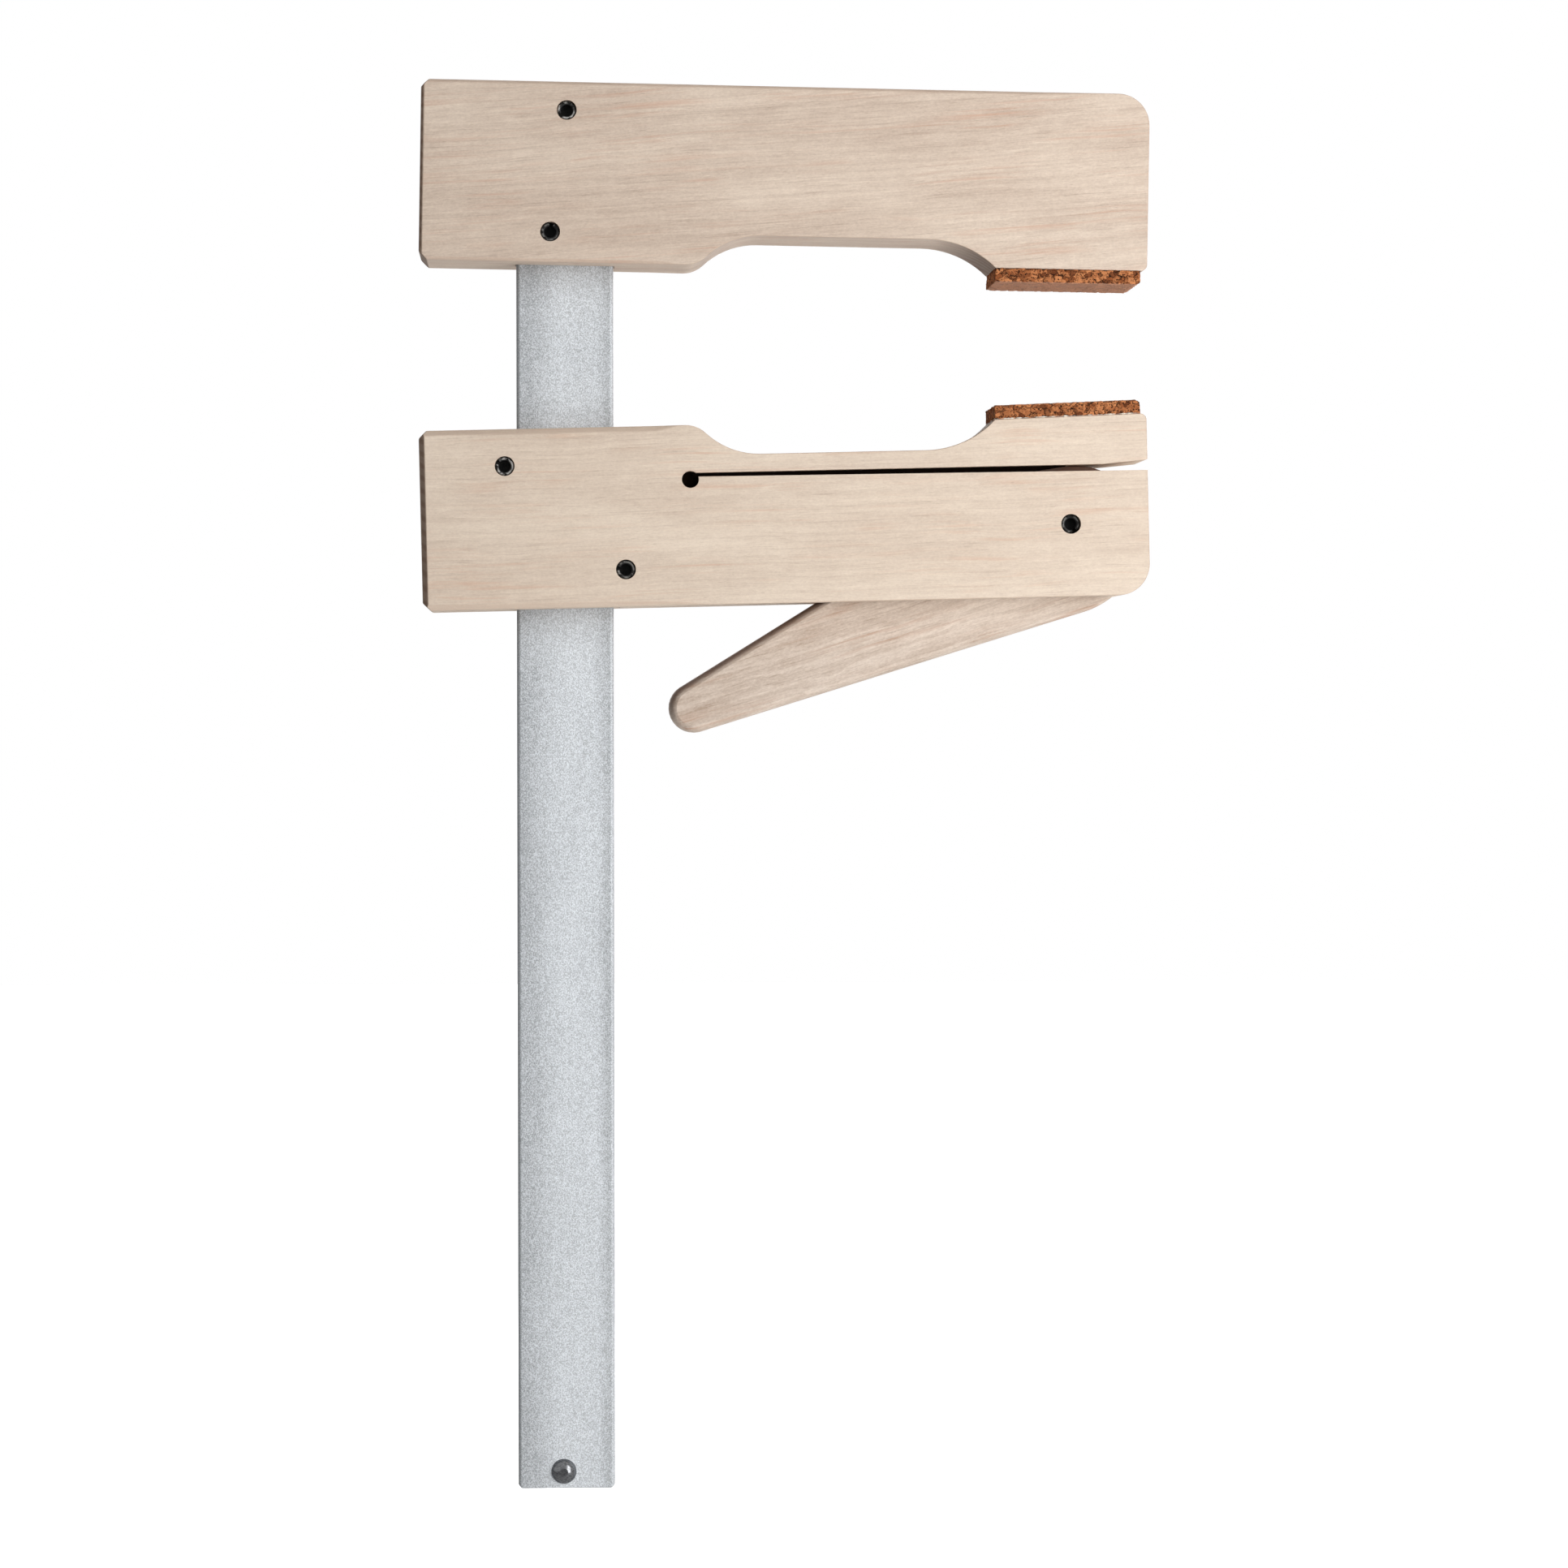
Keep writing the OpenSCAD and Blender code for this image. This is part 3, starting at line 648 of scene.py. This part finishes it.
solid = joined_solid("sliding_jaw", "jaw_tongue")
hinge_gap = [face for face in solid.faces if at_hinge_gap(face)]
for vert in {vert for face in hinge_gap for vert in face.verts}:
    vert.co -= along * (vert.co - hinge).dot(along)
bmesh.ops.delete(solid, geom=hinge_gap, context="FACES")
join_up(solid, HINGE_SEAM)
ease_edges(solid, SLIDING_EASE, crisp=lambda spot: in_kerf(spot) or at_sliding_pins(spot))
score(solid, hinge + along * LEAF_ROOT, along)
tongue_solid = solid.copy()


def on_tongue(face):
    """Tells whether a face belongs to the tongue or to the leaf that carries it."""
    away = face.calc_center_median() - hinge
    return away.dot(along) > LEAF_ROOT and away.dot(upward) > KERF_BELOW_HINGE


for half, keep in ((solid, False), (tongue_solid, True)):
    others = [face for face in half.faces if on_tongue(face) != keep]
    bmesh.ops.delete(half, geom=others, context="FACES")
    rim = [edge for edge in half.edges if edge.is_boundary]
    bmesh.ops.holes_fill(half, edges=rim, sides=0)
for cut in range(1, LEAF_CUTS + 1):
    reach = LEAF_ROOT + (LEAF_END - LEAF_ROOT) * cut / LEAF_CUTS
    score(tongue_solid, hinge + along * reach, along)

sliding_jaw = make_piece("sliding_jaw_wood", solid, sliding_wood)
mark_slopes(sliding_jaw, "eased", eased)
mark_slopes(sliding_jaw, "end_grain_and_shade", cut_across(SLIDING_TOE))
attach(sliding_jaw, "slider")
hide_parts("sliding_jaw")

tongue = make_piece("jaw_tongue_wood", tongue_solid, sliding_wood)
mark_slopes(tongue, "eased", eased)
mark_slopes(tongue, "end_grain_and_shade", cut_across(SLIDING_TOE))
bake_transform(tongue)
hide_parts("jaw_tongue")

# A near-black fill standing in for the shade deep in the kerf and its hole.
kerf_shade_fill, shader, place = new_material("kerf_shade_fill")
fill_mottle = place.stretched((0.4 * MM, 0.4 * MM, 0.4 * MM)).noise(2.0)
shader.inputs["Specular IOR Level"].default_value = 0.0
feed(shader, base_color=fill_mottle.mix(SHADE_FILL_BLACK, SHADE_FILL_BROWN), roughness=0.9 + fill_mottle * 0.1)
solid = bmesh.new()
bmesh.ops.create_cone(
    solid, cap_ends=True, segments=KERF_HOLE_TURNS,
    radius1=KERF_HOLE_R, radius2=KERF_HOLE_R, depth=SHADE_FILL_DEPTH,
    matrix=Matrix.Translation(hinge + along * KERF_HOLE[0] + upward * KERF_HOLE[1])
    @ Matrix.Rotation(math.pi / 2, 4, "X"))
for side in (-1, 1):
    near, far = (
        [solid.verts.new(hinge + along * reach + upward * height + Vector((0, side * depth, 0)))
         for reach, height in KERF_SHADE_FILL]
        for depth in KERF_SHADE_FILL_DEPTHS)
    solid.faces.new(near)
    solid.faces.new(far[::-1])
    for k in range(len(near)):
        solid.faces.new((near[k], far[k], far[k - 1], near[k - 1]))
bmesh.ops.recalc_face_normals(solid, faces=solid.faces)
shade_fill = make_piece("kerf_shade_fill", solid, kerf_shade_fill)
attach(shade_fill, "slider")


# The cork facings: pads cut from a sheet of pressed cork granules, 30 x 22 x 2.9 mm.
# Each is glued to its jaw, and on the sliding jaw a little glue has crept out along the joint.

CORK_SIZE = Vector((30, 22, 2.9)) * MM
CORK_GRAIN = 1.15 * MM
CORK_FLATNESS = 0.8
CORK_PIT = 0.22 * MM
CORK_WEAR = 0.25 * MM
CORK_CUT = 0.24 * MM
CORK_LOSS = 0.9 * MM
CRUMBLE_REACH = 0.9 * MM
WORN_LEAN = (0.5, 0.866)
WORN_REACH = 8.5 * MM
GLUE_BEAD = 0.24 * MM
GLUE_DEPTH = 2.8 * MM
GLUE_STEP = 0.25 * MM
GLUE_SIDES = 8
GLUE_WAVE = 1.6 * MM
CORK_DEEP = tone(135, 71, 36)
CORK_WARM = tone(211, 139, 90)
CORK_BARK = tone(92, 46, 24)
CORK_GAP = tone(26, 14, 9)
CORK_WORN = tone(212, 166, 140)
GLUE_AMBER = tone(206, 190, 170)
GLUE_PALE = tone(240, 232, 220)


def ragged(cells):
    """Cell coordinates that wander with noise, so that granules come out torn and not cut."""
    wander = cells.node(
        "ShaderNodeTexNoise", {},
        {"Vector": cells, "Scale": 1.7, "Detail": 3.0, "Roughness": 0.6}, "Color")
    return cells.node(
        "ShaderNodeVectorMath", {"operation": "MULTIPLY_ADD"},
        {0: wander, 1: (1.1, 1.1, 1.1), 2: cells})


def granule_border(cells):
    """How far a place lies from the border of its granule, in granules."""
    return cells.node(
        "ShaderNodeTexVoronoi", {"feature": "DISTANCE_TO_EDGE"},
        {"Vector": cells, "Scale": 1.0}, "Distance")


cork, shader, place = new_material("pressed_cork")
granules = ragged(place.stretched((CORK_GRAIN, CORK_GRAIN, CORK_GRAIN * CORK_FLATNESS)))
cell = granules.node(
    "ShaderNodeTexVoronoi", {"feature": "F1"}, {"Vector": granules, "Scale": 1.0}, "Color")
crumb = place.stretched((0.22 * MM, 0.22 * MM, 0.22 * MM)).noise(3.0, 0.7)
patches = place.stretched((CORK_LOSS, CORK_LOSS, CORK_LOSS)).noise(2.0)
specks = place.stretched((0.42 * MM, 0.42 * MM, 0.34 * MM)).noise(2.0, 0.6)
warmth = cell.axis("X") * 0.8 + crumb * 0.9 - 0.32
cork_tone = warmth.mix(CORK_DEEP, CORK_WARM)
cork_tone = (cell.axis("Y").step(0.70, 0.92) * 0.75).mix(cork_tone, CORK_BARK)
open_gap = (1.0 - granule_border(granules).step(0.0, 0.13)) * patches.step(0.44, 0.58)
dark = open_gap.maths("MAXIMUM", open_gap, specks.step(0.57, 0.66))
cork_tone = dark.mix(cork_tone, CORK_GAP)
cork_tone = (place.kept("worn") * 0.58).mix(cork_tone, CORK_WORN)
shader.inputs["Specular IOR Level"].default_value = 0.15
feed(shader, base_color=cork_tone, roughness=0.82 + crumb * 0.14,
     bump=crumb * 0.6 - dark, bump_depth=0.12 * MM)

cork_tree, entry = new_tree("cork_facing", {
    "Size": "Vector", "Cut": "Float", "Place": "Vector", "Tilt": "Float", "Grain": "Float",
    "Pit": "Float", "Wear": "Float", "Worn Corner": "Vector", "Worn Reach": "Float",
    "Material": "Material"})
size = entry["Size"]


def along_grid(name):
    """How many corners the block's grid has along one of its axes."""
    return size.maths("DIVIDE", size.axis(name), entry["Cut"]) + 1.0


block = size.node(
    "GeometryNodeMeshCube", {},
    {"Size": size, "Vertices X": along_grid("X"), "Vertices Y": along_grid("Y"),
     "Vertices Z": along_grid("Z")})
spot = size.node("GeometryNodeInputPosition", {}, {})
outward = size.node("GeometryNodeInputNormal", {}, {})
placed = spot.node(
    "ShaderNodeVectorRotate", {"rotation_type": "Y_AXIS"}, {"Vector": spot, "Angle": entry["Tilt"]})
placed = placed.shifted(entry["Place"])


def in_units(length, flat=1.0):
    """Places in the block, measured in a length that is shorter across the sheet."""
    unit = size.node("ShaderNodeCombineXYZ", {}, {"X": length, "Y": length, "Z": length * flat})
    return size.node("ShaderNodeVectorMath", {"operation": "DIVIDE"}, {0: placed, 1: unit})


border = granule_border(ragged(in_units(entry["Grain"], CORK_FLATNESS)))
lost = in_units(CORK_LOSS).noise(2.0)
open_gap = (1.0 - border.step(0.0, 0.15)) * lost.step(0.44, 0.58)
inset = [size.axis(name) * 0.5 - abs(spot.axis(name)) for name in "XYZ"]
nearest = size.maths("MINIMUM", size.maths("MINIMUM", inset[0], inset[1]), inset[2])
furthest = size.maths("MAXIMUM", size.maths("MAXIMUM", inset[0], inset[1]), inset[2])
from_edge = inset[0] + inset[1] + inset[2] - nearest - furthest
crumbled = (1.0 - from_edge.step(0.0, CRUMBLE_REACH)) * lost.step(0.40, 0.72)
sunk = open_gap * entry["Pit"] + crumbled * entry["Wear"]
beyond = spot.node(
    "ShaderNodeVectorMath", {"operation": "DOT_PRODUCT"},
    {0: spot, 1: entry["Worn Corner"]}, "Value")
beyond = size.maths("MAXIMUM", beyond - entry["Worn Reach"] + lost * 0.5 * MM, 0.0)
pressed = outward.scaled(0.0 - sunk).shifted(entry["Worn Corner"].scaled(0.0 - beyond))
block = size.node(
    "GeometryNodeStoreNamedAttribute", {"data_type": "FLOAT", "domain": "POINT"},
    {"Geometry": block, "Name": "worn",
     "Value": spot.axis("Z").step(size.axis("Z") * 0.5 - entry["Cut"], size.axis("Z") * 0.5)})
block = size.node("GeometryNodeSetPosition", {}, {"Geometry": block, "Offset": pressed})
block = size.node(
    "GeometryNodeTransform", {},
    {"Geometry": block, "Translation": entry["Place"],
     "Rotation": size.node("ShaderNodeCombineXYZ", {}, {"Y": entry["Tilt"]})})
close_tree(block, entry["Material"])

glue, shader, place = new_material("dried_glue")
film = place.stretched((0.6 * MM, 0.6 * MM, 0.6 * MM)).noise(2.0)
feed(shader, base_color=film.mix(GLUE_AMBER, GLUE_PALE), roughness=0.35 + film * 0.2)

glue_tree, entry = new_tree("glue_line", {
    "Length": "Float", "Width": "Float", "Bead": "Float", "Place": "Vector", "Tilt": "Float",
    "Material": "Material"})
bead = entry["Bead"]
seam = bead.node(
    "GeometryNodeCurvePrimitiveQuadrilateral", {"mode": "RECTANGLE"},
    {"Width": entry["Length"], "Height": entry["Width"]})
seam = bead.node("GeometryNodeResampleCurve", {"mode": "LENGTH"}, {"Curve": seam, "Length": GLUE_STEP})
spot = bead.node("GeometryNodeInputPosition", {}, {})
squeezed = spot.shifted(entry["Place"]).scaled(1 / GLUE_WAVE).noise(3.0, 0.6).step(0.46, 0.70)
bead_section = bead.node(
    "GeometryNodeCurvePrimitiveCircle", {"mode": "RADIUS"}, {"Resolution": GLUE_SIDES, "Radius": bead})
line = bead.node(
    "GeometryNodeCurveToMesh", {},
    {"Curve": seam, "Profile Curve": bead_section, "Scale": squeezed * 0.95 + 0.05})
line = bead.node(
    "GeometryNodeTransform", {},
    {"Geometry": line, "Translation": entry["Place"],
     "Rotation": bead.node("ShaderNodeCombineXYZ", {}, {"Y": entry["Tilt"]})})
close_tree(line, entry["Material"])


def facing_place(mount_name):
    """Where a facing's working face lies, which way it points, and its tilt."""
    mount = next(mount for mount in frame["record"]["mounts"] if mount["name"] == mount_name)
    out = Vector(mount["axis"])
    return Vector(mount["pos_m"]), out, math.atan2(out.x, out.z)


def face_jaw(name, node, mount_name, body, tip_side):
    """A cork pad with its working face on a mount, worn at the corner on the jaw's tip side."""
    face, out, tilt = facing_place(mount_name)
    pad = grown(name, bpy.data.meshes.new(name), cork_tree, {
        "Size": CORK_SIZE, "Cut": CORK_CUT, "Place": face - out * CORK_SIZE.z / 2,
        "Tilt": tilt, "Grain": CORK_GRAIN, "Pit": CORK_PIT, "Wear": CORK_WEAR,
        "Worn Corner": Vector((WORN_LEAN[0] * tip_side, 0, WORN_LEAN[1])),
        "Worn Reach": WORN_REACH, "Material": cork})
    pad.data.shade_smooth()
    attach(pad, body)
    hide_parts(node)


face_jaw("fixed_cork_pad", "fixed_cork_facing", "fixed_facing", "frame", -1)
face_jaw("sliding_cork_pad", "sliding_cork_facing", "sliding_facing", "tongue", 1)

face, out, tilt = facing_place("sliding_facing")
glue_line = grown("sliding_cork_glue", bpy.data.meshes.new("sliding_cork_glue"), glue_tree, {
    "Length": CORK_SIZE.x, "Width": CORK_SIZE.y, "Bead": GLUE_BEAD,
    "Place": face - out * GLUE_DEPTH, "Tilt": tilt, "Material": glue})
glue_line.data.shade_smooth()
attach(glue_line, "tongue")


# The lever and its cam: hardwood of the same kind, with painted shade on its upper rounded edge and on the cam
# inside the slot.
# It is bandsawn, its grip is rounded over by hand, and its cam end turns on the pivot pin.

LEVER_SLOPE = math.radians(17.4)
LEVER_PITH = (20 * MM, 47 * MM, -30 * MM)
LEVER_CUT = 1.5 * MM
LEVER_CREASE = 16
SLOT_SIDE = Vector((-0.5, 0, 0.866))
BORE_R = 2.06 * MM
BORE_TURNS = 48
ROUND_WIDTH = 1.5 * MM
ROUND_DEPTH = 2.2 * MM
ROUND_START = math.radians(10)
ROUND_STEPS = 6
CAM_EASE = 0.25 * MM
GRIP_FROM = 14 * MM
GRIP_FULL = 26 * MM
CAM_SHADE_FROM = 6 * MM

lever_wood = hardwood(
    "lever_wood", LEVER_SLOPE, LEVER_PITH,
    pale=tone(240, 226, 212), deep=tone(198, 179, 163), blush=tone(184, 142, 116),
    shade=tone(144, 116, 98), edge=tone(78, 42, 26), edge_share=0.85, figure=0.40, streaky=0.55)

swing = next(joint for joint in frame["joints"] if joint["name"] == "cam_turn")
pivot = Vector((swing["pos_m"][0], swing["pos_m"][2]))
lever_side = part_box("cam_lever")[1].y
corners = [Vector((vert.co.x, vert.co.z)) for vert in frame["nodes"]["cam_lever"].data.vertices]
hull = [corners[k] for k in convex_hull_2d(corners)]
outline = []
for k, corner in enumerate(hull):
    leg = corner - hull[k - 1]
    cuts = max(1, round(leg.length / LEVER_CUT))
    outline.extend(hull[k - 1] + leg * cut / cuts for cut in range(cuts))


def outward_at(k):
    """Where the outline moves for each unit that its edges move outwards."""
    before = (outline[k] - outline[k - 1]).normalized()
    after = (outline[(k + 1) % len(outline)] - outline[k]).normalized()
    out = Vector((before.y + after.y, -before.x - after.x))
    return out / (1 + before.dot(after))


def lever_rings(face):
    """Loops from the flat of one face over its rounded edge to the lever's side."""
    loops = []
    for step in range(ROUND_STEPS + 1):
        turn = ROUND_START + (math.pi / 2 - ROUND_START) * step / ROUND_STEPS
        inset_share = (1 - math.sin(turn)) / (1 - math.sin(ROUND_START))
        depth_share = 1 - math.cos(turn) / math.cos(ROUND_START)
        loop = []
        for k, spot in enumerate(outline):
            grip = ramp((spot - pivot).length, GRIP_FROM, GRIP_FULL)
            grip = grip * grip * (3 - 2 * grip)
            inset = CAM_EASE + (ROUND_WIDTH - CAM_EASE) * grip
            depth = CAM_EASE + (ROUND_DEPTH - CAM_EASE) * grip
            at = spot - outward_at(k) * inset * inset_share
            loop.append(solid.verts.new((at.x, face * (lever_side - depth * depth_share), at.y)))
        loops.append(loop)
    return loops


def bridge(one, other):
    """A strip of faces between two closed loops of as many corners."""
    for k in range(len(one)):
        solid.faces.new((one[k - 1], one[k], other[k], other[k - 1]))


solid = bmesh.new()
front, back = lever_rings(-1), lever_rings(1)
loops = front + back[::-1]
for one, other in zip(loops, loops[1:]):
    bridge(one, other)
bores = []
for loop, face in ((front[0], -1), (back[0], 1)):
    turns = [2 * math.pi * k / BORE_TURNS for k in range(BORE_TURNS)]
    bore = [
        solid.verts.new((
            pivot.x + BORE_R * math.cos(turn), face * lever_side, pivot.y + BORE_R * math.sin(turn)))
        for turn in turns]
    bores.append(bore)
    rims = [solid.edges.new((bore[k - 1], bore[k])) for k in range(len(bore))]
    rims += [solid.edges.get((loop[k - 1], loop[k])) for k in range(len(loop))]
    bmesh.ops.triangle_fill(solid, edges=rims, use_beauty=True, normal=(0, face, 0))
score(solid, (pivot.x, 0, pivot.y + CAM_SHADE_FROM), (0, 0, 1))
bmesh.ops.remove_doubles(solid, verts=solid.verts, dist=SAME_SPOT)
bridge(*bores)
bmesh.ops.recalc_face_normals(solid, faces=solid.faces)
lever = make_piece("cam_lever_wood", solid, lever_wood, crease=LEVER_CREASE)


def slot_side_shade(normal):
    """How much painted shade darkens the rounded edge on the side that faces the slot, up and to the left."""
    lean = min(1, (1 - abs(normal.y)) / 0.3) * min(1, 0.4 + 3 * abs(normal.y))
    return lean * max(0, normal.dot(SLOT_SIDE)) ** 0.5


# The lever's eased mark is painted shade on its upper-left rounded edge.
mark_slopes(lever, "eased", slot_side_shade)
# The cam's faces above the pivot sit inside the slot and get brown painted shade.
cam_shade = lever.data.attributes.new("cam_shade", "FLOAT", "FACE")
for face, mark in zip(lever.data.polygons, cam_shade.data):
    middle = Vector((face.center.x, face.center.z))
    mark.value = 1.0 if (middle - pivot).length < GRIP_FROM and middle.y > pivot.y + CAM_SHADE_FROM else 0.0
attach(lever, "lever")
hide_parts("cam_lever")


# The studio: a pale floor and a white surround that gives more light from the right,
# a tall soft box at the right and a fill behind.

FLOOR_Z = -0.36
FLOOR_HALF = 4
SKY_EVEN = 0.26
SKY_SLANT = 0.23
LAMP_AIM = (-0.05, 0, -0.10)
CAMERA_LENS = 117.286
CAMERA_AWAY = 1.06
CAMERA_TURNS = (2.682, -0.85, -0.067)
CAMERA_AIM = Vector((-57.997, 0, -102.969)) * MM

floor_mesh = bpy.data.meshes.new("floor")
floor_mesh.from_pydata(
    [(FLOOR_HALF * x, FLOOR_HALF * y, FLOOR_Z) for x, y in ((-1, -1), (1, -1), (1, 1), (-1, 1))],
    [], [(0, 1, 2, 3)])
floor = bpy.data.objects.new("floor", floor_mesh)
bpy.context.scene.collection.objects.link(floor)
floor_paint, shader, place = new_material("floor_paint")
shader.inputs["Base Color"].default_value = tone(244, 244, 244)
shader.inputs["Roughness"].default_value = 0.9
shader.inputs["Emission Strength"].default_value = 1.0
seen = place.node("ShaderNodeLightPath", {}, {}, "Is Camera Ray")
feed(shader, emission_color=seen * (0.22 + place.length().step(0.2, 0.55) * 0.78))
floor_mesh.materials.append(floor_paint)

world = bpy.data.worlds.new("white_surround")
bpy.context.scene.world = world
world.use_nodes = True
background = world.node_tree.nodes["Background"]
sky = Link(world.node_tree)
plain = sky.node("ShaderNodeLightPath", {}, {}, "Is Camera Ray")
for ray in ("Is Glossy Ray", "Is Transmission Ray"):
    plain = sky.maths("MAXIMUM", plain, sky.node("ShaderNodeLightPath", {}, {}, ray))
place = sky.node("ShaderNodeTexCoord", {}, {}, "Generated")
light = SKY_EVEN + place.axis("X") * SKY_SLANT
strength = light + plain * (1.0 - light)
world.node_tree.links.new(strength.socket, background.inputs["Strength"])
background.inputs["Color"].default_value = (1, 1, 1, 1)


def soft_box(name, place, aim, width, height, watts):
    """A rectangular studio lamp with its face towards a point."""
    lamp = bpy.data.lights.new(name, "AREA")
    lamp.shape = "RECTANGLE"
    lamp.size = width
    lamp.size_y = height
    lamp.energy = watts
    box = bpy.data.objects.new(name, lamp)
    bpy.context.scene.collection.objects.link(box)
    box.location = place
    box.rotation_euler = (Vector(aim) - Vector(place)).to_track_quat("-Z", "Y").to_euler()
    box.visible_camera = False


soft_box("key_box", (0.36, -0.44, -0.06), LAMP_AIM, width=0.3, height=0.9, watts=4.6)
soft_box("back_fill", (0.30, 0.95, 0.25), LAMP_AIM, width=0.8, height=0.8, watts=7.0)

view = bpy.data.cameras.new("photo_camera")
view.sensor_width = 36
view.lens = CAMERA_LENS
yaw, pitch, roll = (math.radians(degrees) for degrees in CAMERA_TURNS)
forward = Vector((math.sin(yaw) * math.cos(pitch), math.cos(yaw) * math.cos(pitch), math.sin(pitch)))
level = Vector((math.cos(yaw), -math.sin(yaw), 0))
upright = level.cross(forward)
side = level * math.cos(roll) + upright * math.sin(roll)
top = upright * math.cos(roll) - level * math.sin(roll)
camera = bpy.data.objects.new("photo_camera", view)
bpy.context.scene.collection.objects.link(camera)
looking = Matrix((side, top, -forward)).transposed().to_quaternion()
camera.matrix_world = Matrix.LocRotScale(CAMERA_AIM - forward * CAMERA_AWAY, looking, None)
bpy.context.scene.camera = camera
bpy.context.scene.view_settings.view_transform = "Standard"
